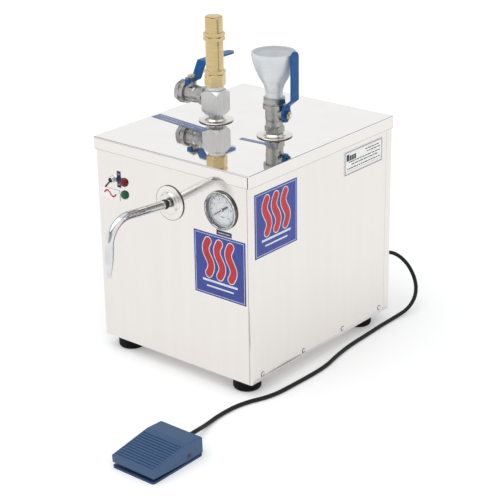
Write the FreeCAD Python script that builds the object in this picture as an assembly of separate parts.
# Jewelry steam cleaner: a stainless steam generator with a foot pedal on a cord.
# Millimetres. Shapes are drawn about the middle of the machine's base, with the floor at z = 0,
# the panel with the nozzle facing -Y and the side with the data plate facing +X.
# The last function moves everything so that the origin lies under the middle of the whole object.
import FreeCAD, Part
import math
import os

Vector = FreeCAD.Vector
UP = Vector(0, 0, 1)
DOWN = Vector(0, 0, -1)
RIGHT = Vector(1, 0, 0)
LEFT = Vector(-1, 0, 0)
BACK = Vector(0, 1, 0)
FRONT = Vector(0, -1, 0)

# Casing
body_width = 280.0
body_depth = 328.0
body_height = 306.0
sheet = 1.5
lid_clearance = 0.35
lid_skirt = 18.0
lid_edge_radius = 1.4
wrap_corner_radius = 3.0
rear_flange = 15.0
pan_flange = 18.0

# Feet
foot_height = 20.0
foot_radius = 20.0
foot_edge = 4.0
foot_inset_side = 29.5
foot_inset_front = 26.0
foot_inset_rear = 37.0
foot_recess_radius = 7.5
foot_recess_depth = 11.0
screw_radius = 2.5
screw_head_radius = 4.6
screw_head_height = 2.8
screw_clearance = 0.15
insert_radius = 4.5
insert_height = 6.0

# Rivets
rivet_head_radius = 3.3
rivet_head_height = 1.3
rivet_shank_radius = 1.6
rivet_tail_radius = 2.3
rivet_tail_height = 1.2
rivet_height = 8.8
rivet_pitch = 93.1
rivets_per_side = 4
rear_rivet_inset = 9.0
rear_rivets_per_edge = 3
rear_rivet_margin = 40.0

# Labels and plates: places on the panels are (distance from the middle, drop below the lid's top)
label_thickness = 0.3
plate_thickness = 0.6
big_label_width = 91.0
big_label_height = 92.0
front_label_place = (87.3, 142.0)
side_label_place = (-107.2, 76.1)
data_plate_size = (93.0, 36.0)
data_plate_place = (93.4, 43.2)
gauge_label_size = (26.5, 7.0)
gauge_label_place = (96.0, 91.2)
voltage_label_size = (38.5, 15.8)
voltage_label_place = (-114.8, 80.2)
switch_plate_size = (6.6, 24.0)
switch_plate_place = (-96.6, 55.5)
vent_strip_size = (106.0, 18.0)
vent_strip_centre = (-84.0, -47.0)
vent_strip_turn = -6.5
fill_strip_size = (54.0, 8.0)
fill_strip_centre = (58.5, -47.5)
fill_strip_turn = 4.0

# Toggle switch
switch_x = -105.6
switch_drop = 56.3
bushing_radius = 4.6
bushing_length = 8.5
bushing_bore = 3.3
switch_nut_across = 11.0
switch_nut_height = 2.6
switch_box = (13.0, 19.0, 27.0)
switch_ball_radius = 3.0
switch_bat_root = 0.9
switch_bat_tip = 1.3
switch_bat_length = 13.0
switch_tilt = 29.0
switch_pivot_depth = 2.0
switch_pin_radius = 0.8
switch_pin_gap = 0.2

# Pilot lamps
lamp_x = -86.3
lamp_drops = (57.8, 76.4)
lamp_dome_radius = 6.2
lamp_dome_height = 4.2
lamp_rim_radius = 6.5
lamp_rim_height = 1.2
lamp_body_radius = 5.0
lamp_body_length = 22.0

# Pressure gauge
gauge_x = 91.9
gauge_drop = 58.5
bezel_radius = 27.2
bezel_lip = 23.8
bezel_depth = 4.7
bezel_lip_depth = 1.6
gauge_can_radius = 25.2
gauge_can_wall = 1.2
gauge_can_depth = 24.0
gauge_fit = 0.1
lens_thickness = 1.5
dial_thickness = 0.8
dial_recess = 7.3
needle_length = 17.0
needle_tail = 11.5
needle_hub_radius = 2.2
needle_thickness = 0.6
needle_gap = 1.0
needle_shaft_radius = 0.9
needle_shaft_length = 7.0
needle_rest_angle = 236.0
movement_radius = 9.0
gauge_stem_across = 14.0
gauge_stem_length = 10.0

# Steam nozzle
nozzle_drop_from_lid = 68.5
nozzle_rise = 4.5
nozzle_reach = 118.6
nozzle_drop = 78.7
nozzle_radius = 6.35
nozzle_wall = 1.0
nozzle_bend = 34.0
nozzle_tip_length = 25.0
nozzle_tip_radius = 2.8
nozzle_tip_bore = 1.5
nozzle_end_wall = 3.0
nozzle_shoulder = 1.4
stub_radius = 5.0
stub_bore = 3.0
stub_inside_spout = 37.8
stub_inside_case = 18.0
running_clearance = 0.06
ring_radius = 7.0
ring_width = 7.0
ring_gap = 2.7
set_screw_radius = 0.9
set_screw_distance = 33.8

# Round cover flanges round the pipes
flange_radius = 25.0
flange_height = 5.2
flange_side = 1.8
flange_wall = 0.8
flange_crown_radius = 14.0

# Pipe fittings on the lid
tee_x = -50.8
tee_y = -6.0
fill_x = 61.3
fill_y = -10.8
nipple_radius = 10.5
nipple_bore = 7.5
thread_depth = 10.0
thread_clearance = 0.05
lid_hole_clearance = 0.5
tee_across = 29.2
tee_bottom = 10.4
tee_height = 35.8
tee_turned_radius = 15.2
tee_chamfer = 5.0
side_seat = 4.0
side_gap = 2.4
side_axis_drop = 13.0

# Safety valve, heights counted up from the tee's top
relief_gap = 6.2
relief_thread = 8.0
relief_hex_across = 27.0
relief_hex_height = 17.8
relief_hex_turn = -8.0
relief_tube_radius = 12.8
relief_tube_height = 61.0
relief_ring_height = 6.4
relief_nut_height = 6.4
relief_nut_turn = 40.0
relief_cap_height = 22.6
relief_bore = 9.5
relief_seat_bore = 5.0
relief_seat_height = 8.0
relief_plug_depth = 12.0
relief_disc_radius = 7.6
relief_disc_height = 3.0
relief_stem_radius = 2.0
relief_lift = 2.0
relief_spring_radius = 8.2
relief_spring_wire = 1.8
cap_slack = 1.0

# Ball valves: the flow runs along +Z of the valve and the stem along +X, from the ball's centre
valve_body_end = 28.0
valve_cap_end = 22.0
valve_joint = 6.2
valve_hex_across = 24.4
valve_hex_length = 9.0
valve_neck_radius = 12.3
valve_bulge_radius = 12.9
valve_bulge_length = 9.0
valve_cap_radius = 16.2
valve_cap_across = 30.0
valve_cap_round = 6.4
valve_groove = 1.2
valve_bore = 7.0
ball_radius = 10.0
ball_clearance = 0.15
boss_radius = 7.0
boss_height = 17.0
packing_across = 12.5
packing_height = 2.2
stem_radius = 3.4
stem_thread_radius = 2.5
stem_end = 29.0
lever_gap = 0.3
lever_thickness = 2.5
lever_width = 16.0
lever_eye_radius = 9.5
lever_flat = 12.0
lever_rise_length = 12.0
lever_length = 92.0
fill_lever_rise = 15.0
vent_lever_rise = 21.5
lever_lug_width = 7.0
lever_lug_drop = 4.6
lever_bend_radius = 4.0
lever_nut_across = 10.0
lever_nut_height = 5.0
fill_valve_bottom = 6.5
valve_travel = 90.0

# Funnel, heights counted up from the valve's cap
funnel_height = 64.5
funnel_neck_radius = 12.1
funnel_neck_height = 7.5
funnel_mid_radius = 19.5
funnel_mid_height = 26.0
funnel_rim_radius = 31.4
funnel_rim_height = 5.0
funnel_wall = 1.7
funnel_bore = 7.6

# Boiler and what hangs on it
boiler_x = 5.0
boiler_y = 20.0
boiler_radius = 95.0
boiler_wall = 2.5
boiler_bottom = 48.0
boiler_drop = 40.0
boiler_edge = 12.0
boiler_leg_radius = 7.0
boiler_leg_circle = 70.0
boiler_legs = 4
socket_radius = 14.5
socket_height = 9.0
heater_z = 92.0
heater_port_radius = 24.0
heater_plug_radius = 19.0
heater_port_length = 9.0
heater_hex_across = 48.0
heater_hex_length = 8.0
heater_rod_radius = 4.0
heater_rod_spread = 9.0
heater_rod_gap = 11.0
heater_reach = 150.0
heater_pin_radius = 2.5
heater_pin_length = 12.0
valve_block = (32.0, 34.0, 32.0)
coil_size = (34.0, 36.0, 30.0)
coil_gap = 3.0
armature_radius = 8.0
armature_wall = 1.4
plunger_clearance = 0.08
plunger_length = 24.0
plunger_travel = 3.0
plunger_seat = 1.0
steam_pipe_radius = 5.0
steam_pipe_wall = 1.0
pipe_seat = 6.0
gauge_pipe_radius = 3.0
gauge_pipe_wall = 0.8
gauge_pipe_bend = 18.0
gauge_pipe_turn = 27.0
gauge_port_angle = -50.0
pressure_port_angle = -130.0
small_port_radius = 6.5
small_port_length = 10.0
pressure_body = (30.0, 46.0, 30.0)
pressure_disc_radius = 17.0
pressure_disc_height = 8.0

# Cable glands on the rear panel
gland_across = 19.0
gland_hex_length = 5.0
gland_dome_radius = 8.2
gland_dome_length = 12.0
gland_bore = 3.05
gland_thread_radius = 6.0
gland_inside = 12.0
gland_spacing = 100.0
gland_x = 95.0
gland_z = 85.0
gland_hole_clearance = 0.1

# Foot pedal
pedal_width = 71.5
pedal_length = 94.5
pedal_middle_x = 152.0
pedal_toe_y = -415.5
pedal_plate = 3.0
pedal_plate_corner = 4.0
treadle_wall = 2.5
treadle_skirt_gap = 4.2
treadle_toe_height = 19.0
treadle_kink_height = 29.0
treadle_kink_from_rear = 28.0
treadle_rear_height = 27.5
treadle_edge_radius = 2.0
treadle_side_clearance = 0.15
treadle_travel = 3.2
groove_count = 12
groove_pitch = 4.75
groove_width = 1.9
groove_depth = 1.0
groove_start = 4.5
groove_margin = 3.0
pedal_pin_y_from_rear = 26.5
pedal_pin_height = 11.0
pedal_pin_radius = 2.0
pedal_pin_head_radius = 2.9
pedal_pin_head_height = 1.6
pedal_ear_thickness = 2.0
pedal_ear_gap = 0.8
pedal_ear_length = 20.0
pedal_spring_from_toe = 21.0
pedal_spring_radius = 6.0
pedal_spring_wire = 1.3
pedal_spring_gap = 0.5
pedal_switch_from_toe = 44.0
pedal_switch_size = (16.0, 28.0, 14.5)
plunger_radius = 1.8
plunger_gap = 0.4
plunger_well = 3.0
rear_wall_thickness = 2.0
rear_wall_gap = 4.9
rear_wall_width = 26.0
grommet_radius = 5.6
grommet_tip_radius = 3.9
grommet_length = 18.0
grommet_collar = 1.2
notch_clearance = 1.6

# Pedal cord, from the gland on the rear panel to the pedal: middle of the cord
cord_radius = 3.0
cord_arc_share = 0.45
cord_exit_height = 11.0
cord_route_middle = [
    (95.0, 208.0, 85.0),
    (104.0, 230.0, 81.0),
    (122.0, 240.0, 65.5),
    (141.0, 237.0, 43.0),
    (153.0, 222.0, 24.0),
    (154.0, 200.0, 9.0),
    (148.0, 172.0, 3.0),
    (148.0, 135.0, 3.0),
    (150.0, 95.0, 3.0),
    (151.0, 52.0, 3.0),
    (156.0, 12.0, 3.0),
    (165.0, -30.0, 3.0),
    (163.0, -100.0, 3.0),
    (160.0, -145.0, 3.0),
    (141.0, -186.0, 3.0),
    (138.0, -228.0, 3.0),
    (143.0, -263.0, 4.0),
    (152.0, -291.0, 11.0),
]

# Places that follow from the sizes above
floor_to_pan = foot_height
lid_top = foot_height + body_height
lid_under = lid_top - sheet
switch_z = lid_top - switch_drop
lamp_z = [lid_top - drop for drop in lamp_drops]
gauge_z = lid_top - gauge_drop
nozzle_z = lid_top - nozzle_drop_from_lid
boiler_top = lid_top - boiler_drop
half_width = body_width / 2
front_y = -body_depth / 2
rear_y = body_depth / 2
lid_half_width = half_width + lid_clearance + sheet
lid_half_depth = body_depth / 2 + lid_clearance + sheet
tee_base = lid_top + tee_bottom
tee_top = tee_base + tee_height
tee_side_z = tee_top - side_axis_drop
vent_stem_x = tee_x - tee_across / 2 - side_gap - valve_body_end
fill_stem_z = lid_top + fill_valve_bottom + valve_body_end
funnel_base = fill_stem_z + valve_cap_end
lever_level = boss_height + packing_height + lever_gap
thread_radius = nipple_radius + thread_clearance
spout_start = front_y - flange_height - ring_gap - ring_width
pedal_left = pedal_middle_x - pedal_width / 2
pedal_right = pedal_middle_x + pedal_width / 2
pedal_heel_y = pedal_toe_y + pedal_length
pedal_pin_y = pedal_heel_y - pedal_pin_y_from_rear
gland_out = gland_hex_length + gland_dome_length
treadle_bottom = pedal_plate + treadle_skirt_gap
needle_plane = front_y - bezel_depth + dial_recess - needle_gap
switch_pivot_y = front_y - bushing_length + switch_pivot_depth
relief_seat_z = tee_top + relief_gap + relief_seat_height
relief_tube_top = tee_top + relief_gap + relief_hex_height + relief_tube_height
nozzle_axis_end = front_y - nozzle_reach

# The middle of the whole object, without the cord: the origin of the finished part
origin_x = (pedal_right + pedal_pin_head_height - lid_half_width) / 2
origin_y = (pedal_toe_y + rear_y + gland_out) / 2


def block(x_range, y_range, z_range):
    corner = Vector(x_range[0], y_range[0], z_range[0])
    size = (x_range[1] - x_range[0], y_range[1] - y_range[0], z_range[1] - z_range[0])
    return Part.makeBox(size[0], size[1], size[2], corner)


def rod(radius, start, direction, length):
    return Part.makeCylinder(radius, length, start, direction)


def placed(shape, base, direction):
    turn = FreeCAD.Rotation(UP, direction)
    moved = shape.copy()
    moved.Placement = FreeCAD.Placement(base, turn).multiply(moved.Placement)
    return moved


def turned(profile, base=Vector(0, 0, 0), direction=UP):
    # A closed outline of (radius, height) points, spun about the height axis
    points = [Vector(radius, 0, height) for radius, height in profile]
    face = Part.Face(Part.makePolygon(points + [points[0]]))
    return placed(face.revolve(Vector(0, 0, 0), UP, 360), base, direction)


def prism(sides, across, length, base, direction, turn=0.0):
    corner = across / 2 / math.cos(math.pi / sides)
    points = []
    for index in range(sides + 1):
        angle = math.radians(turn) + 2 * math.pi * index / sides
        points.append(Vector(corner * math.cos(angle), corner * math.sin(angle), 0))
    face = Part.Face(Part.makePolygon(points))
    return placed(face.extrude(Vector(0, 0, length)), base, direction)


def nut_blank(sides, across, length, chamfer, base, direction, turn=0.0, face_radius=None):
    # A bar of flats whose two ends are turned down to a cone
    corner = across / 2 / math.cos(math.pi / sides)
    end_radius = face_radius or across / 2 * 0.98
    outline = [
        (0, 0),
        (end_radius, 0),
        (corner, chamfer),
        (corner, length - chamfer),
        (end_radius, length),
        (0, length),
    ]
    return prism(sides, across, length, base, direction, turn).common(turned(outline, base, direction))


def bent_path(points, radii):
    # Straight runs joined by tangent arcs; radii has one value for each inner point
    edges = []
    start = points[0]
    for index in range(1, len(points) - 1):
        incoming = (points[index] - points[index - 1]).normalize()
        outgoing = (points[index + 1] - points[index]).normalize()
        turn = incoming.getAngle(outgoing)
        reach = radii[index - 1] * math.tan(turn / 2)
        arc_start = points[index] - incoming * reach
        arc_end = points[index] + outgoing * reach
        inward = (outgoing - incoming).normalize()
        centre = points[index] + inward * (radii[index - 1] / math.cos(turn / 2))
        arc_middle = centre - inward * radii[index - 1]
        edges.append(Part.LineSegment(start, arc_start).toShape())
        edges.append(Part.Arc(arc_start, arc_middle, arc_end).toShape())
        start = arc_end
    edges.append(Part.LineSegment(start, points[-1]).toShape())
    return Part.Wire(edges)


def swept(points, radii, radius):
    path = bent_path(points, radii)
    start_direction = (points[1] - points[0]).normalize()
    ring = Part.Wire([Part.makeCircle(radius, points[0], start_direction)])
    solid = Part.Solid(path.makePipeShell([ring], True, False))
    if solid.Volume < 0:
        solid.reverse()
    return solid, path.Length


def upright_edges(shape, points):
    # The vertical edges that stand on the given (x, y) points
    found = []
    for edge in shape.Edges:
        ends = [vertex.Point for vertex in edge.Vertexes]
        if len(ends) == 2 and abs(ends[0].z - ends[1].z) > 1:
            for x, y in points:
                if math.hypot(ends[0].x - x, ends[0].y - y) + math.hypot(ends[1].x - x, ends[1].y - y) < 0.01:
                    found.append(edge)
    return found


def cut_all(shape, tools):
    for tool in tools:
        shape = shape.cut(tool)
    return shape


def joined(shapes):
    solid = shapes[0]
    for shape in shapes[1:]:
        solid = solid.fuse(shape)
    return solid.removeSplitter()


def on_nozzle(shape):
    # Pieces of the steam line are drawn level and then tipped up about the point where they leave the panel
    tip = FreeCAD.Rotation(RIGHT, -nozzle_rise)
    pivot = Vector(0, front_y, nozzle_z)
    moved = shape.copy()
    moved.Placement = FreeCAD.Placement(pivot - tip.multVec(pivot), tip).multiply(moved.Placement)
    return moved


def stub_way():
    # The round way that the tipped nozzle pipe needs through the panel and the flange
    start = Vector(0, front_y + stub_inside_case, nozzle_z)
    return on_nozzle(rod(stub_radius + thread_clearance, start, FRONT, 2 * stub_inside_case))


def foot_places():
    for x in (-half_width + foot_inset_side, half_width - foot_inset_side):
        for y in (front_y + foot_inset_front, rear_y - foot_inset_rear):
            yield x, y


def side_rivet_places():
    # Base points and outward directions of the rivets along both sides of the casing
    first = -rivet_pitch * (rivets_per_side - 1) / 2
    for side in (-1, 1):
        for index in range(rivets_per_side):
            base = Vector(side * half_width, first + index * rivet_pitch, floor_to_pan + rivet_height)
            yield base, Vector(side, 0, 0)


def rear_rivet_places():
    low = floor_to_pan + rear_rivet_margin
    step = (lid_under - lid_skirt - rear_rivet_margin - low) / (rear_rivets_per_edge - 1)
    for side in (-1, 1):
        for index in range(rear_rivets_per_edge):
            yield Vector(side * (half_width - rear_rivet_inset), rear_y, low + index * step), BACK


def riser_places():
    return [(tee_x, tee_y), (fill_x, fill_y)]


def gland_places():
    return [Vector(gland_x, rear_y, gland_z), Vector(gland_x - gland_spacing, rear_y, gland_z)]


def rivet_hole(base, direction):
    return rod(rivet_shank_radius, base - direction * 4 * sheet, direction, 6 * sheet)


def case_wrap():
    y_rear = rear_y - sheet
    corners = [(-half_width, front_y), (half_width, front_y)]
    outer = block((-half_width, half_width), (front_y, y_rear), (floor_to_pan, lid_under))
    outer = outer.makeFillet(wrap_corner_radius, upright_edges(outer, corners))
    inner_x = half_width - sheet
    inner_y = front_y + sheet
    inner = block((-inner_x, inner_x), (inner_y, y_rear - sheet), (floor_to_pan - 1, lid_under + 1))
    inner = inner.makeFillet(wrap_corner_radius - sheet, upright_edges(inner, [(-inner_x, inner_y), (inner_x, inner_y)]))
    opening_x = half_width - rear_flange
    opening = block((-opening_x, opening_x), (y_rear - 2 * sheet, y_rear + 1), (floor_to_pan - 1, lid_under + 1))
    through = 4 * sheet
    gauge_hole = gauge_can_radius + gauge_fit
    panel_holes = [
        (gauge_x, gauge_z, gauge_hole),
        (switch_x, switch_z, bushing_radius + thread_clearance),
    ]
    panel_holes += [(lamp_x, z, lamp_body_radius + thread_clearance) for z in lamp_z]
    tools = [inner, opening, stub_way()]
    tools += [rod(radius, Vector(x, front_y - sheet, z), BACK, through) for x, z, radius in panel_holes]
    tools += [rivet_hole(base, direction) for base, direction in side_rivet_places()]
    tools += [rivet_hole(base, direction) for base, direction in rear_rivet_places()]
    return cut_all(outer, tools)


def rear_panel():
    panel = block((-half_width, half_width), (rear_y - sheet, rear_y), (floor_to_pan, lid_under))
    hole_radius = gland_thread_radius + gland_hole_clearance
    tools = [rod(hole_radius, base - BACK * 2 * sheet, BACK, 4 * sheet) for base in gland_places()]
    tools += [rivet_hole(base, direction) for base, direction in rear_rivet_places()]
    return cut_all(panel, tools)


def base_pan():
    x_out = half_width - sheet
    y_low = front_y + sheet
    y_high = rear_y - 2 * sheet
    z_low = floor_to_pan
    corners = [(-x_out, y_low), (x_out, y_low)]
    outer = block((-x_out, x_out), (y_low, y_high), (z_low, z_low + pan_flange))
    outer = outer.makeFillet(wrap_corner_radius - sheet, upright_edges(outer, corners))
    inner = block(
        (-x_out + sheet, x_out - sheet),
        (y_low + sheet, y_high - sheet),
        (z_low + sheet, z_low + pan_flange + 1),
    )
    pan = outer.cut(inner)
    inserts = [rod(insert_radius, Vector(x, y, z_low + sheet), UP, insert_height) for x, y in foot_places()]
    pan = joined([pan] + inserts)
    hole = screw_radius + thread_clearance
    tools = [rod(hole, Vector(x, y, z_low - 1), UP, insert_height + 2 * sheet) for x, y in foot_places()]
    tools += [rivet_hole(base, direction) for base, direction in side_rivet_places()]
    return cut_all(pan, tools)


def lid():
    z_low = lid_under - lid_skirt + sheet
    outer = block((-lid_half_width, lid_half_width), (-lid_half_depth, lid_half_depth), (z_low, lid_top))
    outer_edges = [edge for edge in outer.Edges if edge.BoundBox.ZMax > z_low + 1]
    outer = outer.makeFillet(lid_edge_radius, outer_edges)
    x_in = lid_half_width - sheet
    y_in = lid_half_depth - sheet
    inner = block((-x_in, x_in), (-y_in, y_in), (z_low - 1, lid_under))
    hole = nipple_radius + lid_hole_clearance
    holes = [rod(hole, Vector(x, y, lid_under - 1), UP, 4 * sheet) for x, y in riser_places()]
    return cut_all(outer, [inner] + holes)


def case_rivets():
    solids = []
    for base, direction in list(side_rivet_places()) + list(rear_rivet_places()):
        grip = 2 * sheet
        profile = [
            (0, -grip - rivet_tail_height),
            (rivet_tail_radius, -grip - rivet_tail_height),
            (rivet_tail_radius, -grip),
            (rivet_shank_radius, -grip),
            (rivet_shank_radius, 0),
            (rivet_head_radius, 0),
            (rivet_head_radius * 0.9, rivet_head_height * 0.5),
            (rivet_head_radius * 0.6, rivet_head_height * 0.88),
            (0, rivet_head_height),
        ]
        solids.append(turned(profile, base, direction))
    return Part.makeCompound(solids)


def feet():
    solids = []
    for x, y in foot_places():
        foot = rod(foot_radius, Vector(x, y, 0), UP, foot_height)
        rims = [edge for edge in foot.Edges if edge.BoundBox.ZMax < 1]
        foot = foot.makeFillet(foot_edge, rims)
        recess = rod(foot_recess_radius, Vector(x, y, -1), UP, foot_recess_depth + 1)
        bore = rod(screw_radius + screw_clearance, Vector(x, y, 0), UP, foot_height + 1)
        solids.append(cut_all(foot, [recess, bore]))
    return Part.makeCompound(solids)


def foot_screws():
    solids = []
    for x, y in foot_places():
        head_base = foot_recess_depth - screw_head_height
        length = foot_height + sheet + insert_height - head_base
        head = rod(screw_head_radius, Vector(x, y, head_base), UP, screw_head_height)
        slot = nut_blank(6, screw_radius * 1.6, screw_head_height * 0.6, 0.1, Vector(x, y, head_base), UP)
        shank = rod(screw_radius, Vector(x, y, head_base), UP, length)
        solids.append(joined([head, shank]).cut(slot))
    return Part.makeCompound(solids)


def face_label(width, height, thickness, place, on_side=False):
    # A flat plate on the front panel, or on the right side
    middle_z = lid_top - place[1]
    across = (place[0] - width / 2, place[0] + width / 2)
    upright = (middle_z - height / 2, middle_z + height / 2)
    if on_side:
        return block((half_width, half_width + thickness), across, upright)
    return block(across, (front_y - thickness, front_y), upright)


def panel_labels():
    front = face_label(big_label_width, big_label_height, label_thickness, front_label_place)
    side = face_label(big_label_width, big_label_height, label_thickness, side_label_place, True)
    return Part.makeCompound([front, side])


def lid_strip(size, centre, turn):
    strip = block((-size[0] / 2, size[0] / 2), (-size[1] / 2, size[1] / 2), (0, label_thickness))
    turning = FreeCAD.Rotation(UP, turn)
    strip.Placement = FreeCAD.Placement(Vector(centre[0], centre[1], lid_top), turning)
    return strip


def strip_labels():
    return Part.makeCompound([
        lid_strip(vent_strip_size, vent_strip_centre, vent_strip_turn),
        lid_strip(fill_strip_size, fill_strip_centre, fill_strip_turn),
        face_label(gauge_label_size[0], gauge_label_size[1], label_thickness, gauge_label_place),
    ])


def data_plate():
    return face_label(data_plate_size[0], data_plate_size[1], plate_thickness, data_plate_place, True)


def voltage_label():
    return face_label(voltage_label_size[0], voltage_label_size[1], label_thickness, voltage_label_place)


def switch_plate():
    return face_label(switch_plate_size[0], switch_plate_size[1], plate_thickness, switch_plate_place)


def switch_body():
    width, depth, height = switch_box
    y_inside = front_y + sheet
    box = block(
        (switch_x - width / 2, switch_x + width / 2),
        (y_inside, y_inside + depth),
        (switch_z - height / 2, switch_z + height / 2),
    )
    start = Vector(switch_x, y_inside, switch_z)
    bushing = rod(bushing_radius, start, FRONT, bushing_length + sheet)
    bore = rod(bushing_bore, start + BACK * 4, FRONT, bushing_length + 10)
    terminals = []
    for row in (-1, 0, 1):
        centre_z = switch_z + row * height / 3
        terminals.append(block(
            (switch_x - 2.4, switch_x + 2.4),
            (y_inside + depth, y_inside + depth + 7),
            (centre_z - 0.4, centre_z + 0.4),
        ))
    return joined([box, bushing] + terminals).cut(bore)


def switch_nut():
    base = Vector(switch_x, front_y, switch_z)
    nut = nut_blank(6, switch_nut_across, switch_nut_height, 0.5, base, FRONT, 30)
    return nut.cut(rod(bushing_radius + thread_clearance, base, FRONT, switch_nut_height))


def switch_lever():
    pivot = Vector(switch_x, switch_pivot_y, switch_z)
    tilt = math.radians(switch_tilt)
    outward = Vector(0, -math.cos(tilt), -math.sin(tilt))
    ball = Part.makeSphere(switch_ball_radius, pivot)
    bat = Part.makeCone(switch_bat_root, switch_bat_tip, switch_bat_length, pivot, outward)
    tip = Part.makeSphere(switch_bat_tip, pivot + outward * switch_bat_length)
    pin_half = bushing_bore - switch_pin_gap
    pin = rod(switch_pin_radius, pivot + LEFT * pin_half, RIGHT, 2 * pin_half)
    return joined([ball, bat, tip, pin])


def pilot_lamp(z):
    base = Vector(lamp_x, front_y, z)
    steps = 5
    dome = []
    for index in range(steps + 1):
        angle = math.pi / 2 * index / steps
        height = lamp_rim_height + lamp_dome_height * math.sin(angle)
        dome.append((lamp_dome_radius * math.cos(angle), height))
    profile = [(0, -lamp_body_length), (lamp_body_radius, -lamp_body_length), (lamp_body_radius, 0)]
    profile += [(lamp_rim_radius, 0), (lamp_rim_radius, lamp_rim_height)]
    profile += dome[:-1] + [(0, lamp_rim_height + lamp_dome_height)]
    return turned(profile, base, FRONT)


def gauge_case():
    # Heights run out of the panel towards the viewer
    front = bezel_depth - bezel_lip_depth - lens_thickness
    back = front - gauge_can_depth
    inside = gauge_can_radius - gauge_can_wall
    floor = back + gauge_can_wall
    dial_back = bezel_depth - dial_recess - dial_thickness
    bore = needle_shaft_radius + running_clearance
    bore_bottom = dial_back - needle_shaft_length
    profile = [
        (0, back),
        (gauge_can_radius, back),
        (gauge_can_radius, front),
        (inside, front),
        (inside, floor),
        (movement_radius, floor),
        (movement_radius, dial_back),
        (bore, dial_back),
        (bore, bore_bottom),
        (0, bore_bottom),
    ]
    base = Vector(gauge_x, front_y, gauge_z)
    can = turned(profile, base, FRONT)
    stem_base = base + BACK * -back
    stem = prism(6, gauge_stem_across, gauge_stem_length, stem_base, BACK)
    seat = rod(gauge_pipe_radius + thread_clearance, stem_base + BACK * (gauge_stem_length - pipe_seat), BACK, pipe_seat)
    return joined([can, stem]).cut(seat)


def gauge_bezel():
    bore = gauge_can_radius + gauge_fit
    lip = bezel_depth - bezel_lip_depth
    round_off = 1.6
    profile = [
        (bore, 0),
        (bezel_radius - 1, 0),
        (bezel_radius, 1),
        (bezel_radius, bezel_depth - round_off),
        (bezel_radius - round_off * 0.3, bezel_depth - round_off * 0.3),
        (bezel_radius - round_off, bezel_depth),
        (bezel_lip + 0.8, bezel_depth),
        (bezel_lip, bezel_depth - 0.6),
        (bezel_lip, lip),
        (bore, lip),
    ]
    return turned(profile, Vector(gauge_x, front_y, gauge_z), FRONT)


def gauge_lens():
    start = Vector(gauge_x, front_y - bezel_depth + bezel_lip_depth, gauge_z)
    return rod(gauge_can_radius, start, BACK, lens_thickness)


def gauge_dial():
    radius = gauge_can_radius - gauge_can_wall - gauge_fit
    start = Vector(gauge_x, front_y - bezel_depth + dial_recess, gauge_z)
    hole = rod(needle_shaft_radius * 1.6, start, BACK, dial_thickness)
    return rod(radius, start, BACK, dial_thickness).cut(hole)


def gauge_needle():
    # Drawn pointing up, then turned to the start of the scale
    hub_half = needle_hub_radius * 0.42
    outline = [
        Vector(-hub_half, 0, -needle_tail),
        Vector(hub_half, 0, -needle_tail),
        Vector(hub_half * 0.8, 0, 0),
        Vector(0.15, 0, needle_length),
        Vector(-0.15, 0, needle_length),
        Vector(-hub_half * 0.8, 0, 0),
    ]
    blade = Part.Face(Part.makePolygon(outline + [outline[0]])).extrude(Vector(0, needle_thickness, 0))
    hub = rod(needle_hub_radius, Vector(0, 0, 0), BACK, needle_thickness)
    shaft = rod(needle_shaft_radius, Vector(0, 0, 0), BACK, needle_gap + dial_thickness + needle_shaft_length * 0.8)
    needle = joined([blade, hub, shaft])
    turning = FreeCAD.Rotation(BACK, needle_rest_angle)
    needle.Placement = FreeCAD.Placement(Vector(gauge_x, needle_plane, gauge_z), turning)
    return needle


def nozzle_stub():
    start = Vector(0, front_y + stub_inside_case, nozzle_z)
    length = front_y + stub_inside_case - spout_start + stub_inside_spout
    return on_nozzle(rod(stub_radius, start, FRONT, length).cut(rod(stub_bore, start, FRONT, length)))


def nozzle_ring():
    start = Vector(0, spout_start, nozzle_z)
    middle = ring_width / 2
    inner = stub_radius + thread_clearance
    bulge = 0.8
    profile = [
        (inner, 0.05),
        (ring_radius - bulge, 0.05),
        (ring_radius, middle * 0.6),
        (ring_radius, middle * 1.4),
        (ring_radius - bulge, ring_width),
        (inner, ring_width),
    ]
    return on_nozzle(turned(profile, start, BACK))


def nozzle_spout():
    tip_z = nozzle_z - nozzle_drop
    start = Vector(0, spout_start, nozzle_z)
    corner = Vector(0, nozzle_axis_end, nozzle_z)
    taper = Vector(0, nozzle_axis_end, tip_z + nozzle_tip_length)
    outer, length = swept([start, corner, taper], [nozzle_bend], nozzle_radius)
    rear_rim = [edge for edge in outer.Edges if edge.BoundBox.YMin > spout_start - 0.01]
    outer = outer.makeFillet(nozzle_shoulder, rear_rim)
    tip = Part.makeCone(nozzle_radius, nozzle_tip_radius, nozzle_tip_length, taper, DOWN)
    inner_start = Vector(0, spout_start - nozzle_end_wall, nozzle_z)
    inner_end = taper + DOWN * (nozzle_tip_length * 0.4)
    inner, length = swept([inner_start, corner, taper], [nozzle_bend], nozzle_radius - nozzle_wall)
    cone = Part.makeCone(nozzle_radius - nozzle_wall, nozzle_tip_bore, (inner_end - taper).Length, taper, DOWN)
    tip_bore = rod(nozzle_tip_bore, taper, DOWN, nozzle_tip_length)
    entry = rod(stub_radius + running_clearance, start, FRONT, nozzle_end_wall)
    screw_point = Vector(0, spout_start - set_screw_distance, nozzle_z)
    screw_hole = rod(set_screw_radius, screw_point, Vector(0.75, 0, 0.66), nozzle_radius + 1)
    return on_nozzle(cut_all(joined([outer, tip]), [inner, cone, tip_bore, entry, screw_hole]))


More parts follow.
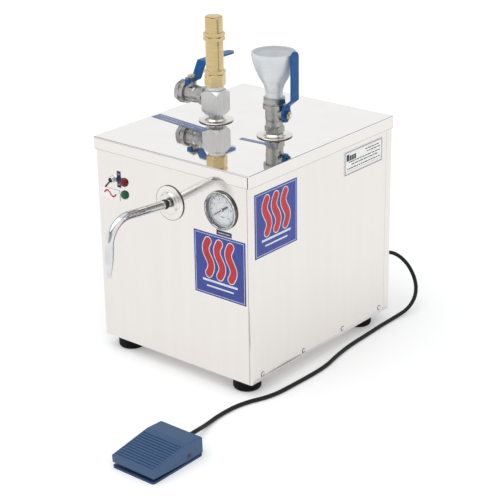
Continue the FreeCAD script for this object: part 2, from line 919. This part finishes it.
def cover_flange(base, direction, hole):
    top = flange_height
    profile = [
        (flange_radius - flange_wall, 0),
        (flange_radius, 0),
        (flange_radius, flange_side * 0.6),
        (flange_radius - 0.8, flange_side),
        (flange_crown_radius + 3.6, flange_side + 0.3),
        (flange_crown_radius + 2.2, flange_side + 1.0),
        (flange_crown_radius, top - 0.4),
        (flange_crown_radius - 1.4, top),
        (hole, top),
        (hole, top - flange_wall),
        (flange_crown_radius - 1.7, top - flange_wall),
        (flange_crown_radius - 0.6, top - 0.4 - flange_wall * 0.8),
        (flange_crown_radius + 1.5, flange_side + 1.0 - flange_wall),
        (flange_crown_radius + 3.2, flange_side + 0.3 - flange_wall * 0.9),
        (flange_radius - 0.8 - flange_wall, flange_side - flange_wall),
    ]
    return turned(profile, base, direction)


def pipe_flanges():
    nozzle_hole = stub_radius - thread_clearance
    pipe_hole = nipple_radius + thread_clearance
    flanges = [cover_flange(Vector(0, front_y, nozzle_z), FRONT, nozzle_hole).cut(stub_way())]
    flanges += [cover_flange(Vector(x, y, lid_top), UP, pipe_hole) for x, y in riser_places()]
    return Part.makeCompound(flanges)


def pipe_nipple(start, direction, length):
    return rod(nipple_radius, start, direction, length).cut(rod(nipple_bore, start, direction, length))


def pipe_nipples():
    riser_start = boiler_top - socket_height * 0.3
    tee_riser = pipe_nipple(Vector(tee_x, tee_y, riser_start), UP, tee_base + thread_depth - riser_start)
    fill_end = lid_top + fill_valve_bottom + thread_depth
    fill_riser = pipe_nipple(Vector(fill_x, fill_y, riser_start), UP, fill_end - riser_start)
    side_start = Vector(tee_x - tee_across / 2 + side_seat, tee_y, tee_side_z)
    side_piece = pipe_nipple(side_start, LEFT, side_seat + side_gap + thread_depth)
    return Part.makeCompound([tee_riser, fill_riser, side_piece])


def tee_block():
    base = Vector(tee_x, tee_y, tee_base)
    side = Vector(tee_x - tee_across / 2 + side_seat, tee_y, tee_side_z)
    block_shape = nut_blank(4, tee_across, tee_height, tee_chamfer, base, UP, 45, tee_turned_radius)
    tools = [
        rod(thread_radius, base, UP, thread_depth + 1),
        rod(thread_radius, base + UP * (tee_height - relief_thread), UP, relief_thread),
        rod(nipple_bore, base, UP, tee_height),
        rod(thread_radius, side, LEFT, tee_across),
        rod(nipple_bore, Vector(tee_x, tee_y, tee_side_z), LEFT, tee_across),
    ]
    return cut_all(block_shape, tools)


def relief_body():
    base = Vector(tee_x, tee_y, tee_top)
    thread = rod(nipple_radius, base - UP * relief_thread, UP, relief_thread + relief_gap)
    hexagon = nut_blank(6, relief_hex_across, relief_hex_height, 1.8, base + UP * relief_gap, UP, relief_hex_turn)
    tube_start = base + UP * (relief_gap + relief_hex_height)
    housing = rod(relief_tube_radius, tube_start, UP, relief_tube_height)
    seat_way = rod(relief_seat_bore, base - UP * relief_thread, UP, relief_thread + relief_gap + relief_hex_height)
    chamber_start = Vector(tee_x, tee_y, relief_seat_z)
    chamber = rod(relief_bore, chamber_start, UP, relief_tube_top - relief_seat_z + 1)
    return joined([thread, hexagon, housing]).cut(seat_way).cut(chamber)


def relief_nuts():
    low = tee_top + relief_gap + relief_hex_height
    high = relief_tube_top - 2 * relief_nut_height
    solids = []
    for z, height in ((low, relief_ring_height), (high, relief_nut_height), (high + relief_nut_height, relief_nut_height)):
        base = Vector(tee_x, tee_y, z)
        nut = nut_blank(6, relief_hex_across, height, 1.2, base, UP, relief_nut_turn, relief_tube_radius + 0.4)
        solids.append(nut.cut(rod(relief_tube_radius + thread_clearance, base, UP, height)))
    return Part.makeCompound(solids)


def relief_cap():
    base = Vector(tee_x, tee_y, relief_tube_top)
    plug = relief_bore - thread_clearance
    guide = relief_stem_radius + running_clearance
    edge = 1.6
    profile = [
        (guide, -relief_plug_depth),
        (plug, -relief_plug_depth),
        (plug, 0),
        (relief_tube_radius, 0),
        (relief_tube_radius, relief_cap_height - edge),
        (relief_tube_radius - edge * 0.3, relief_cap_height - edge * 0.3),
        (relief_tube_radius - edge, relief_cap_height),
        (0, relief_cap_height),
        (0, relief_cap_height - 4),
        (guide, relief_cap_height - 4),
    ]
    return turned(profile, base, UP)


def relief_disc():
    base = Vector(tee_x, tee_y, relief_seat_z)
    stem_top = relief_tube_top - relief_plug_depth + 8 - relief_seat_z
    disc = rod(relief_disc_radius, base, UP, relief_disc_height)
    return joined([disc, rod(relief_stem_radius, base, UP, stem_top)])


def relief_spring():
    start = Vector(tee_x, tee_y, relief_seat_z + relief_disc_height)
    length = relief_tube_top - relief_plug_depth - start.z
    coil = rod(relief_spring_radius, start, UP, length)
    return coil.cut(rod(relief_spring_radius - relief_spring_wire, start, UP, length))


def valve_body_shape():
    end = -valve_body_end
    hexagon = nut_blank(6, valve_hex_across, valve_hex_length, 1.0, Vector(0, 0, end), UP, 30)
    bulge_start = valve_joint - valve_bulge_length - 6
    profile = [
        (0, end + valve_hex_length),
        (valve_neck_radius, end + valve_hex_length),
        (valve_neck_radius, bulge_start - 3),
        (valve_bulge_radius, bulge_start),
        (valve_bulge_radius, valve_joint),
        (0, valve_joint),
    ]
    boss = rod(boss_radius, Vector(0, 0, 0), RIGHT, boss_height)
    packing = nut_blank(6, packing_across, packing_height, 0.4, Vector(boss_height, 0, 0), RIGHT)
    shell = joined([hexagon, turned(profile), boss, packing])
    tools = [
        rod(thread_radius, Vector(0, 0, end), UP, thread_depth),
        rod(valve_bore, Vector(0, 0, end), UP, valve_body_end),
        Part.makeSphere(ball_radius + ball_clearance),
        rod(ball_radius + ball_clearance, Vector(0, 0, 0), UP, valve_joint),
        rod(stem_radius + running_clearance, Vector(0, 0, 0), RIGHT, boss_height + packing_height),
        rod(valve_cap_radius + gauge_fit, Vector(0, 0, valve_joint), UP, boss_radius),
    ]
    return cut_all(shell, tools)


def valve_cap_shape():
    round_top = valve_joint + valve_cap_round
    hex_start = round_top + valve_groove
    hex_length = valve_cap_end - hex_start
    round_part = rod(valve_cap_radius, Vector(0, 0, valve_joint), UP, valve_cap_round)
    groove = rod(valve_cap_radius - 1.4, Vector(0, 0, round_top), UP, valve_groove)
    hexagon = nut_blank(6, valve_cap_across, hex_length, 1.4, Vector(0, 0, hex_start), UP, 10)
    tools = [
        rod(thread_radius, Vector(0, 0, valve_cap_end - thread_depth), UP, thread_depth),
        rod(valve_bore, Vector(0, 0, valve_joint), UP, valve_cap_end),
        Part.makeSphere(ball_radius + ball_clearance),
    ]
    return cut_all(joined([round_part, groove, hexagon]), tools)


def valve_ball_shape():
    ball = Part.makeSphere(ball_radius)
    stem = rod(stem_radius, Vector(0, 0, 0), RIGHT, lever_level + lever_thickness)
    stem_thread = rod(stem_thread_radius, Vector(0, 0, 0), RIGHT, stem_end)
    way = rod(valve_bore, Vector(0, 0, -ball_radius), UP, 2 * ball_radius)
    return joined([ball, stem, stem_thread]).cut(way)


def lever_shape(lever_rise):
    # The strap runs along +Z from the stem, first flat, then up a slope, then along the grip
    low = lever_level
    high = low + lever_rise
    rise_start = lever_flat
    rise_end = lever_flat + lever_rise_length
    slope = math.atan2(lever_rise, lever_rise_length)
    shift = lever_thickness * math.tan(slope / 2)
    under = [(low, -lever_eye_radius), (low, rise_start), (high, rise_end), (high, lever_length)]
    over = [
        (high + lever_thickness, lever_length),
        (high + lever_thickness, rise_end - shift),
        (low + lever_thickness, rise_start - shift),
        (low + lever_thickness, -lever_eye_radius),
    ]
    points = [Vector(x, -lever_eye_radius, z) for x, z in under + over]
    side = Part.Face(Part.makePolygon(points + [points[0]])).extrude(Vector(0, 2 * lever_eye_radius, 0))
    bends = []
    for edge in side.Edges:
        middle = edge.CenterOfMass
        if edge.BoundBox.YLength > lever_eye_radius and -1 < middle.z - rise_start + shift < 2 * lever_rise_length:
            bends.append(edge)
    side = side.makeFillet(lever_bend_radius, bends)
    half = lever_width / 2
    height = high + 2 * lever_thickness
    eye = rod(lever_eye_radius, Vector(0, 0, 0), RIGHT, height)
    end = rod(half, Vector(0, 0, lever_length - half), RIGHT, height)
    strip = block((0, height), (-half, half), (0, lever_length - half))
    strap = side.common(joined([eye, end, strip]))
    lug_z = -lever_eye_radius
    lug = block(
        (low - lever_lug_drop, low + lever_thickness),
        (-lever_lug_width / 2, lever_lug_width / 2),
        (lug_z - lever_thickness * 0.5, lug_z + lever_thickness * 0.5),
    )
    return joined([strap, lug]).cut(rod(stem_radius + thread_clearance, Vector(0, 0, 0), RIGHT, height))


def lever_nut_shape():
    base = Vector(lever_level + lever_thickness, 0, 0)
    nut = nut_blank(6, lever_nut_across, lever_nut_height, 0.7, base, RIGHT, 15)
    return nut.cut(rod(stem_thread_radius + thread_clearance, base, RIGHT, lever_nut_height))


def turned_valve(shape, flow, stem, centre):
    # Moves a valve piece so that its flow and stem axes take the given directions
    across = flow.cross(stem)
    matrix = FreeCAD.Matrix(
        stem.x, across.x, flow.x, centre.x,
        stem.y, across.y, flow.y, centre.y,
        stem.z, across.z, flow.z, centre.z,
        0, 0, 0, 1,
    )
    moved = shape.copy()
    moved.Placement = FreeCAD.Placement(matrix).multiply(moved.Placement)
    return moved


def ball_valves():
    # The vent valve lies along -X with its lever across it, shut; the fill valve stands with its lever
    # along it, open.
    vent_centre = Vector(vent_stem_x, tee_y, tee_side_z)
    fill_centre = Vector(fill_x, fill_y, fill_stem_z)
    shapes = {
        "body": valve_body_shape(),
        "cap": valve_cap_shape(),
        "ball": valve_ball_shape(),
        "nut": lever_nut_shape(),
    }
    pieces = {}
    quarter = FreeCAD.Placement(Vector(0, 0, 0), FreeCAD.Rotation(RIGHT, -valve_travel))
    for name in ("body", "cap", "ball", "lever", "nut"):
        shape = shapes.get(name) or lever_shape(fill_lever_rise)
        pieces["fill_" + name] = turned_valve(shape, UP, RIGHT, fill_centre)
        shape = shapes.get(name) or lever_shape(vent_lever_rise)
        shut = shape.copy()
        if name in ("ball", "lever", "nut"):
            shut.Placement = quarter.multiply(shut.Placement)
        pieces["vent_" + name] = turned_valve(shut, LEFT, UP, vent_centre)
    return pieces


def funnel():
    top = funnel_height
    neck = funnel_neck_radius
    rim_low = top - funnel_rim_height
    outer = [
        Vector(nipple_radius, 0, -thread_depth),
        Vector(nipple_radius, 0, 0),
        Vector(neck, 0, 0),
        Vector(neck, 0, funnel_neck_height),
    ]
    edges = [Part.LineSegment(outer[i], outer[i + 1]).toShape() for i in range(3)]
    middle = Vector(funnel_mid_radius, 0, funnel_mid_height)
    shoulder = Vector(funnel_rim_radius, 0, rim_low)
    flare = Vector((neck + funnel_mid_radius) / 2 - 1.3, 0, (funnel_neck_height + funnel_mid_height) / 2)
    bulge = Vector((funnel_mid_radius + funnel_rim_radius) / 2 + 1.6, 0, (funnel_mid_height + rim_low) / 2)
    edges.append(Part.Arc(outer[3], flare, middle).toShape())
    edges.append(Part.Arc(middle, bulge, shoulder).toShape())
    rim_out = Vector(funnel_rim_radius, 0, top)
    rim_in = Vector(funnel_rim_radius - funnel_wall, 0, top)
    edges.append(Part.LineSegment(shoulder, rim_out).toShape())
    edges.append(Part.LineSegment(rim_out, rim_in).toShape())
    inward = Vector(-funnel_wall, 0, 0.4)
    shoulder_in = shoulder + Vector(-funnel_wall, 0, 0)
    middle_in = middle + inward
    neck_in = Vector(funnel_bore, 0, funnel_neck_height + 3)
    flare_in = Vector((funnel_bore + middle_in.x) / 2 - 1.0, 0, (neck_in.z + middle_in.z) / 2)
    edges.append(Part.LineSegment(rim_in, shoulder_in).toShape())
    edges.append(Part.Arc(shoulder_in, bulge + inward, middle_in).toShape())
    edges.append(Part.Arc(middle_in, flare_in, neck_in).toShape())
    bottom_in = Vector(funnel_bore, 0, -thread_depth)
    edges.append(Part.LineSegment(neck_in, bottom_in).toShape())
    edges.append(Part.LineSegment(bottom_in, outer[0]).toShape())
    face = Part.Face(Part.Wire(edges))
    bowl = face.revolve(Vector(0, 0, 0), UP, 360)
    return placed(bowl, Vector(fill_x, fill_y, funnel_base), UP)


def port_place(angle_degrees):
    angle = math.radians(angle_degrees)
    direction = Vector(math.cos(angle), math.sin(angle), 0)
    wall = Vector(boiler_x, boiler_y, nozzle_z) + direction * boiler_radius
    return wall, direction


def boiler():
    centre = Vector(boiler_x, boiler_y, boiler_bottom)
    height = boiler_top - boiler_bottom
    tank = rod(boiler_radius, centre, UP, height)
    tank = tank.makeFillet(boiler_edge, [edge for edge in tank.Edges if len(edge.Vertexes) == 1])
    inside = rod(boiler_radius - boiler_wall, centre + UP * boiler_wall, UP, height - 2 * boiler_wall)
    inside = inside.makeFillet(boiler_edge - boiler_wall, [edge for edge in inside.Edges if len(edge.Vertexes) == 1])
    additions = [tank]
    for index in range(boiler_legs):
        angle = math.pi / 4 + index * 2 * math.pi / boiler_legs
        x = boiler_x + boiler_leg_circle * math.cos(angle)
        y = boiler_y + boiler_leg_circle * math.sin(angle)
        z = floor_to_pan + sheet
        additions.append(rod(boiler_leg_radius, Vector(x, y, z), UP, boiler_bottom + 1 - z))
    for x, y in riser_places():
        additions.append(rod(socket_radius, Vector(x, y, boiler_top - 1), UP, socket_height + 1))
    heater_start = Vector(boiler_x, boiler_y + boiler_radius - heater_port_length, heater_z)
    additions.append(rod(heater_port_radius, heater_start, BACK, 2 * heater_port_length))
    steam_start = Vector(0, boiler_y - boiler_radius - small_port_length, nozzle_z)
    additions.append(on_nozzle(rod(small_port_radius + 2, steam_start, BACK, small_port_length + 4)))
    for angle in (gauge_port_angle, pressure_port_angle):
        wall, direction = port_place(angle)
        additions.append(rod(small_port_radius, wall - direction * 2, direction, small_port_length + 2))
    shell = joined(additions).cut(inside)
    tools = [rod(thread_radius, Vector(x, y, boiler_top - 5), UP, 5 + socket_height) for x, y in riser_places()]
    tools.append(rod(heater_plug_radius + thread_clearance, heater_start - BACK * 5, BACK, 5 + 2 * heater_port_length))
    tools.append(on_nozzle(rod(steam_pipe_radius + thread_clearance, steam_start, BACK, small_port_length + 8)))
    for angle in (gauge_port_angle, pressure_port_angle):
        wall, direction = port_place(angle)
        hole = gauge_pipe_radius + thread_clearance
        tools.append(rod(hole, wall - direction * 4, direction, small_port_length + 6))
    return cut_all(shell, tools)


def heating_element():
    face_y = boiler_y + boiler_radius + heater_port_length
    face = Vector(boiler_x, face_y, heater_z)
    plug = rod(heater_plug_radius, face, FRONT, 2 * heater_port_length + 2)
    head = nut_blank(6, heater_hex_across, heater_hex_length, 2.0, face, BACK, 30)
    pieces = [plug, head]
    for side in (-1, 1):
        x = boiler_x + side * heater_rod_gap
        low = heater_z - heater_rod_spread
        high = heater_z + heater_rod_spread
        y_end = face_y - heater_reach
        route = [
            Vector(x, face_y - heater_port_length, low),
            Vector(x, y_end, low),
            Vector(x, y_end, high),
            Vector(x, face_y - heater_port_length, high),
        ]
        bends = [heater_rod_spread * 0.98] * 2
        pieces.append(swept(route, bends, heater_rod_radius)[0])
        pin_base = Vector(x, face_y + heater_hex_length, heater_z)
        pieces.append(rod(heater_pin_radius, pin_base, BACK, heater_pin_length))
    return joined(pieces)


def steam_valve():
    width, depth, height = valve_block
    y_front = front_y + stub_inside_case - pipe_seat
    z_low = nozzle_z - height / 2
    body = block((-width / 2, width / 2), (y_front, y_front + depth), (z_low, z_low + height))
    axis = Vector(0, y_front + depth / 2, z_low + height)
    tower_height = coil_size[2] + coil_gap * 0.5
    tower = rod(armature_radius, axis, UP, tower_height)
    bore = armature_radius - armature_wall
    cavity_base = axis - UP * (height / 2 - plunger_seat)
    cavity_height = plunger_length + plunger_travel + 1
    tools = [
        rod(stub_radius + thread_clearance, Vector(0, y_front, nozzle_z), BACK, pipe_seat),
        rod(stub_bore, Vector(0, y_front, nozzle_z), BACK, depth),
        rod(steam_pipe_radius + thread_clearance, Vector(0, y_front + depth, nozzle_z), FRONT, pipe_seat),
        rod(bore, cavity_base, UP, cavity_height),
    ]
    return on_nozzle(cut_all(joined([body, tower]), tools))


def valve_coil():
    width, depth, height = coil_size
    y_front = front_y + stub_inside_case - pipe_seat
    y_middle = y_front + valve_block[1] / 2
    z_low = nozzle_z + valve_block[2] / 2
    coil = block((-width / 2, width / 2), (y_middle - depth / 2, y_middle + depth / 2), (z_low, z_low + height))
    long_edges = [edge for edge in coil.Edges if edge.BoundBox.ZLength > height / 2]
    coil = coil.makeFillet(4, long_edges)
    terminal_start = y_middle + depth / 2
    terminals = [
        block((x - 3, x + 3), (terminal_start, terminal_start + 8), (z_low + height / 2 - 0.4, z_low + height / 2 + 0.4))
        for x in (-7, 7)
    ]
    hole = rod(armature_radius + gauge_fit, Vector(0, y_middle, z_low - 1), UP, height + 2)
    return on_nozzle(joined([coil] + terminals).cut(hole))


def valve_plunger():
    y_middle = front_y + stub_inside_case - pipe_seat + valve_block[1] / 2
    base = Vector(0, y_middle, nozzle_z + plunger_seat + 0.1)
    return on_nozzle(rod(armature_radius - armature_wall - plunger_clearance, base, UP, plunger_length))


def boiler_pipes():
    start = Vector(0, front_y + stub_inside_case - 2 * pipe_seat + valve_block[1], nozzle_z)
    end_y = boiler_y - boiler_radius + 2
    steam = rod(steam_pipe_radius, start, BACK, end_y - start.y)
    steam = on_nozzle(steam.cut(rod(steam_pipe_radius - steam_pipe_wall, start, BACK, end_y - start.y)))
    wall, direction = port_place(gauge_port_angle)
    front = bezel_depth - bezel_lip_depth - lens_thickness
    stem_end_y = front_y - front + gauge_can_depth + gauge_stem_length
    gauge_start = Vector(gauge_x, stem_end_y - pipe_seat, gauge_z)
    reach = (gauge_x - wall.x) / direction.x
    corner = Vector(gauge_x, wall.y + direction.y * reach, gauge_z)
    route = [gauge_start, corner, wall + direction * gauge_pipe_turn, wall]
    outer = swept(route, [gauge_pipe_bend, gauge_pipe_bend], gauge_pipe_radius)[0]
    inner = swept(route, [gauge_pipe_bend, gauge_pipe_bend], gauge_pipe_radius - gauge_pipe_wall)[0]
    return Part.makeCompound([steam, outer.cut(inner)])


def pressure_switch():
    wall, direction = port_place(pressure_port_angle)
    start = wall + direction * small_port_length
    nipple = rod(gauge_pipe_radius, start, direction * -1, small_port_length)
    disc = rod(pressure_disc_radius, start, direction, pressure_disc_height)
    length, width, height = pressure_body
    box = Part.makeBox(width, height, length, Vector(-width / 2, -height / 2, 0))
    box = placed(box, start + direction * pressure_disc_height, direction)
    return joined([nipple, disc, box])


def cable_glands():
    solids = []
    for base in gland_places():
        thread = rod(gland_thread_radius, base + FRONT * (sheet + gland_inside), BACK, sheet + gland_inside)
        hexagon = nut_blank(6, gland_across, gland_hex_length, 0.8, base, BACK)
        locknut = nut_blank(6, gland_across, 4, 0.8, base + FRONT * (sheet + 4), BACK)
        tip = gland_out
        profile = [
            (0, gland_hex_length),
            (gland_dome_radius, gland_hex_length),
            (gland_dome_radius, tip - 5),
            (gland_dome_radius - 1.2, tip - 2.2),
            (gland_bore + 1.6, tip),
            (0, tip),
        ]
        gland = joined([thread, hexagon, locknut, turned(profile, base, BACK)])
        bore_start = base + FRONT * (sheet + gland_inside)
        solids.append(gland.cut(rod(gland_bore, bore_start, BACK, sheet + gland_inside + tip)))
    return Part.makeCompound(solids)


def pedal_inner_top(y):
    # Height of the treadle's underside above the floor at a given y
    kink_y = pedal_heel_y - treadle_kink_from_rear
    share = (y - pedal_toe_y) / (kink_y - pedal_toe_y)
    return treadle_toe_height + share * (treadle_kink_height - treadle_toe_height) - treadle_wall


def pedal_base():
    plate = block((pedal_left, pedal_right), (pedal_toe_y, pedal_heel_y), (0, pedal_plate))
    plate = plate.makeFillet(pedal_plate_corner, [edge for edge in plate.Edges if edge.BoundBox.ZLength > 1])
    pieces = [plate]
    ear_reach = pedal_width / 2 - treadle_wall - pedal_ear_gap
    ear_y = (pedal_pin_y - pedal_ear_length / 2, pedal_pin_y + pedal_ear_length / 2)
    ear_top = pedal_pin_height + 2 * pedal_pin_radius
    for side in (-1, 1):
        outer = pedal_middle_x + side * ear_reach
        inner = outer - side * pedal_ear_thickness
        pieces.append(block((min(inner, outer), max(inner, outer)), ear_y, (pedal_plate - 1, ear_top)))
    wall_y = pedal_heel_y - rear_wall_gap - rear_wall_thickness
    pieces.append(block(
        (pedal_middle_x - rear_wall_width / 2, pedal_middle_x + rear_wall_width / 2),
        (wall_y, wall_y + rear_wall_thickness),
        (pedal_plate - 1, cord_exit_height + grommet_radius + 2.5),
    ))
    pin_hole = rod(pedal_pin_radius, Vector(pedal_left, pedal_pin_y, pedal_pin_height), RIGHT, pedal_width)
    cord_hole = rod(grommet_radius, Vector(pedal_middle_x, wall_y - 1, cord_exit_height), BACK, rear_wall_thickness + 2)
    return joined(pieces).cut(pin_hole).cut(cord_hole)


def treadle_outline(inset, x_start):
    # Side view of the treadle, drawn at x_start; inset moves the walls inwards
    kink_y = pedal_heel_y - treadle_kink_from_rear
    low = treadle_bottom - (1 if inset else 0)
    rear_low = pedal_plate + treadle_skirt_gap * 0.35 - (1 if inset else 0)
    points = [
        (pedal_toe_y + 1.5 + inset, low),
        (pedal_toe_y + 0.5 + inset, treadle_toe_height - inset),
        (kink_y, treadle_kink_height - inset),
        (pedal_heel_y - 1.0 - inset, treadle_rear_height - inset),
        (pedal_heel_y - 0.5 - inset, rear_low),
        (pedal_pin_y - 4, rear_low),
    ]
    return [Vector(x_start, y, z) for y, z in points]


def pedal_treadle():
    x_start = pedal_left + treadle_side_clearance
    width = pedal_width - 2 * treadle_side_clearance
    outline = treadle_outline(0, x_start)
    outer = Part.Face(Part.makePolygon(outline + [outline[0]])).extrude(Vector(width, 0, 0))
    top_edges = []
    for edge in outer.Edges:
        box = edge.BoundBox
        along_side = box.XLength < 1 and box.ZMin > treadle_toe_height - 1
        if along_side or (box.XLength > 1 and box.ZMin > treadle_toe_height - 1):
            top_edges.append(edge)
    outer = outer.makeFillet(treadle_edge_radius, top_edges)
    hollow = treadle_outline(treadle_wall, x_start + treadle_wall)
    inner = Part.Face(Part.makePolygon(hollow + [hollow[0]])).extrude(Vector(width - 2 * treadle_wall, 0, 0))
    tools = [inner]
    kink_y = pedal_heel_y - treadle_kink_from_rear
    slope = math.atan2(treadle_kink_height - treadle_toe_height, kink_y - pedal_toe_y)
    for index in range(groove_count):
        along = groove_start + index * groove_pitch
        groove = block(
            (-pedal_width / 2 + groove_margin, pedal_width / 2 - groove_margin),
            (along - groove_width / 2, along + groove_width / 2),
            (-groove_depth, 1),
        )
        turning = FreeCAD.Rotation(RIGHT, math.degrees(slope))
        groove.Placement = FreeCAD.Placement(Vector(pedal_middle_x, pedal_toe_y, treadle_toe_height), turning)
        tools.append(groove)
    hole = pedal_pin_radius + running_clearance
    tools.append(rod(hole, Vector(pedal_left - 1, pedal_pin_y, pedal_pin_height), RIGHT, pedal_width + 2))
    notch_radius = grommet_radius + notch_clearance
    notch = rod(notch_radius, Vector(pedal_middle_x, pedal_heel_y - 2 * treadle_wall, cord_exit_height), BACK, 4 * treadle_wall)
    slot = block(
        (pedal_middle_x - notch_radius, pedal_middle_x + notch_radius),
        (pedal_heel_y - 2 * treadle_wall, pedal_heel_y + 1),
        (0, cord_exit_height),
    )
    return cut_all(outer, tools + [notch, slot])


def pedal_pin():
    head = pedal_pin_head_height
    start = Vector(pedal_left, pedal_pin_y, pedal_pin_height)
    pin = rod(pedal_pin_radius, start, RIGHT, pedal_width)
    pieces = [pin]
    dome = [(0, 0), (pedal_pin_head_radius, 0), (pedal_pin_head_radius * 0.75, head * 0.7), (0, head)]
    pieces.append(turned(dome, start, LEFT))
    pieces.append(turned(dome, start + RIGHT * pedal_width, RIGHT))
    return joined(pieces)


def pedal_spring():
    y = pedal_toe_y + pedal_spring_from_toe
    top = pedal_inner_top(y - pedal_spring_radius) - pedal_spring_gap
    base = Vector(pedal_middle_x, y, pedal_plate)
    length = top - pedal_plate
    return rod(pedal_spring_radius, base, UP, length).cut(
        rod(pedal_spring_radius - pedal_spring_wire, base, UP, length))


def plunger_top():
    y = pedal_toe_y + pedal_switch_from_toe
    return pedal_inner_top(y - plunger_radius) - plunger_gap


def pedal_switch():
    width, depth, height = pedal_switch_size
    y = pedal_toe_y + pedal_switch_from_toe
    box = block(
        (pedal_middle_x - width / 2, pedal_middle_x + width / 2),
        (y - depth / 2, y + depth / 2),
        (pedal_plate, pedal_plate + height),
    )
    well = rod(
        plunger_radius + running_clearance,
        Vector(pedal_middle_x, y, pedal_plate + height - plunger_well - 2),
        UP,
        plunger_well + 3,
    )
    return box.cut(well)


def pedal_plunger():
    y = pedal_toe_y + pedal_switch_from_toe
    base = Vector(pedal_middle_x, y, pedal_plate + pedal_switch_size[2] - plunger_well)
    length = plunger_top() - base.z
    return rod(plunger_radius, base, UP, length)


def pedal_grommet():
    inside = rear_wall_thickness + rear_wall_gap
    start = Vector(pedal_middle_x, pedal_heel_y, cord_exit_height)
    wall = -rear_wall_gap
    bore = cord_radius + thread_clearance
    profile = [
        (bore, -inside - grommet_collar),
        (grommet_radius + 1, -inside - grommet_collar),
        (grommet_radius + 1, -inside),
        (grommet_radius, -inside),
        (grommet_radius, wall + 1),
        (grommet_tip_radius, wall + grommet_length),
        (bore, wall + grommet_length),
    ]
    return turned(profile, start, BACK)


def cord_route():
    gland_mouth = gland_places()[0] + BACK * gland_out
    pedal_mouth = Vector(pedal_middle_x, pedal_heel_y - rear_wall_gap + grommet_length, cord_exit_height)
    return [gland_mouth] + [Vector(*point) for point in cord_route_middle] + [pedal_mouth]


def pedal_cord():
    points = cord_route()
    radii = []
    for index in range(1, len(points) - 1):
        incoming = points[index] - points[index - 1]
        outgoing = points[index + 1] - points[index]
        shorter = min(incoming.Length, outgoing.Length)
        radii.append(cord_arc_share * shorter / math.tan(incoming.getAngle(outgoing) / 2))
    tube, length = swept(points, radii, cord_radius)
    runs = [(points[index + 1] - points[index]).Length for index in range(len(points) - 1)]
    print("cord runs", [round(run, 1) for run in runs])
    print("cord radii", [round(radius, 1) for radius in radii])
    print("cord length", round(length, 1), "lowest", round(tube.BoundBox.ZMin, 2))
    print("cord volume over section times length", round(tube.Volume / (math.pi * cord_radius ** 2 * length), 5))
    return tube


def all_nodes():
    nodes = {
        "case_wrap": case_wrap(),
        "rear_panel": rear_panel(),
        "base_pan": base_pan(),
        "lid": lid(),
        "case_rivets": case_rivets(),
        "feet": feet(),
        "foot_screws": foot_screws(),
        "panel_labels": panel_labels(),
        "data_plate": data_plate(),
        "strip_labels": strip_labels(),
        "voltage_label": voltage_label(),
        "switch_plate": switch_plate(),
        "switch_body": switch_body(),
        "switch_nut": switch_nut(),
        "switch_lever": switch_lever(),
        "red_lamp": pilot_lamp(lamp_z[0]),
        "green_lamp": pilot_lamp(lamp_z[1]),
        "gauge_case": gauge_case(),
        "gauge_bezel": gauge_bezel(),
        "gauge_lens": gauge_lens(),
        "gauge_dial": gauge_dial(),
        "gauge_needle": gauge_needle(),
        "nozzle_stub": nozzle_stub(),
        "nozzle_ring": nozzle_ring(),
        "nozzle_spout": nozzle_spout(),
        "pipe_flanges": pipe_flanges(),
        "pipe_nipples": pipe_nipples(),
        "tee_block": tee_block(),
        "relief_body": relief_body(),
        "relief_nuts": relief_nuts(),
        "relief_cap": relief_cap(),
        "relief_spring": relief_spring(),
        "relief_disc": relief_disc(),
        "funnel": funnel(),
        "boiler": boiler(),
        "heating_element": heating_element(),
        "steam_valve": steam_valve(),
        "valve_coil": valve_coil(),
        "valve_plunger": valve_plunger(),
        "boiler_pipes": boiler_pipes(),
        "pressure_switch": pressure_switch(),
        "cable_glands": cable_glands(),
        "pedal_base": pedal_base(),
        "pedal_treadle": pedal_treadle(),
        "pedal_pin": pedal_pin(),
        "pedal_spring": pedal_spring(),
        "pedal_switch": pedal_switch(),
        "pedal_plunger": pedal_plunger(),
        "pedal_grommet": pedal_grommet(),
        "pedal_cord": pedal_cord(),
    }
    nodes.update(ball_valves())
    return nodes


def export(nodes):
    os.makedirs("parts", exist_ok=True)
    shift = FreeCAD.Placement(Vector(-origin_x, -origin_y, 0), FreeCAD.Rotation())
    for name, shape in nodes.items():
        shape.Placement = shift.multiply(shape.Placement)
        shape.exportStep("parts/" + name + ".step")
    return nodes


finished = export(all_nodes())
